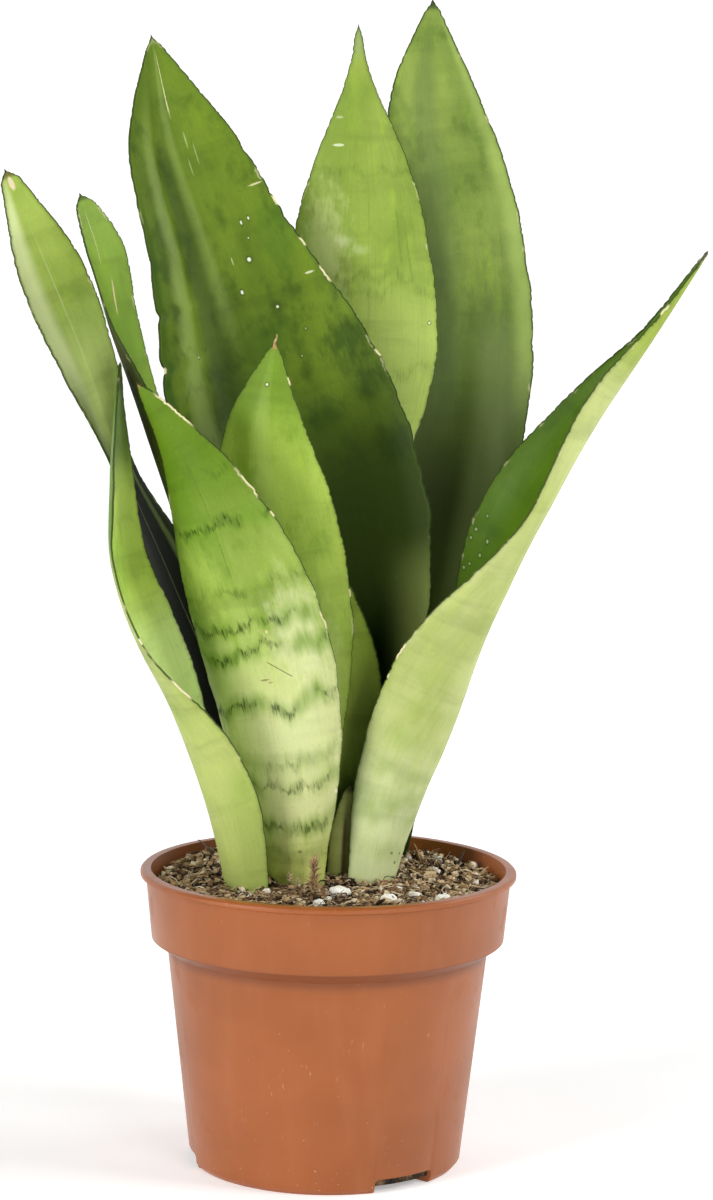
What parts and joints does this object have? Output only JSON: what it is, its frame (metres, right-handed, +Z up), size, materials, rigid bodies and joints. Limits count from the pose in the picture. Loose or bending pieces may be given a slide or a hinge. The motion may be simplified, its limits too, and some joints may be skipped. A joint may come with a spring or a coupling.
{
  "type": "potted snake plant",
  "caption": "Potted succulent with upright, channelled, pale silvery green leaves that grow from soil in a round tapered plant pot with a collar; stands on its flat foot.",
  "frame": {"origin": "middle of the pot's flat underside", "axes": "+Z up along the pot's axis, -Y towards the front of the plant as pictured, +X to the right"},
  "size_m": [0.2223, 0.1202, 0.3706],
  "materials": {
    "pot_plastic": "satin",
    "potting_mix": "matte",
    "root": "matte",
    "leaf_upper_face": "satin",
    "leaf_pale": "satin",
    "leaf_dark": "satin",
    "leaf_sheath": "satin",
    "perlite": "matte",
    "dry_stalk": "matte",
    "brown_moss": "matte"
  },
  "bodies": {
    "root": {"pot": "pot_plastic", "soil": "potting_mix", "rootstock": "root", "leaf_far_left": "leaf_upper_face", "leaf_near_left": "leaf_pale", "leaf_front": "leaf_pale", "leaf_back_left": "leaf_upper_face", "leaf_centre": "leaf_dark", "leaf_heart": "leaf_pale", "leaf_rear_middle": "leaf_pale", "leaf_rear_right": "leaf_upper_face", "leaf_right": "leaf_pale", "leaf_inner_short": "leaf_dark", "leaf_sheath": "leaf_sheath", "perlite_1": "perlite", "perlite_2": "perlite", "perlite_3": "perlite", "perlite_4": "perlite", "perlite_5": "perlite", "perlite_6": "perlite", "perlite_7": "perlite", "perlite_8": "perlite", "twig_tan": "dry_stalk", "twig_dark": "dry_stalk", "twig_left": "dry_stalk", "moss_stem": "brown_moss"}
  },
  "joints": []
}
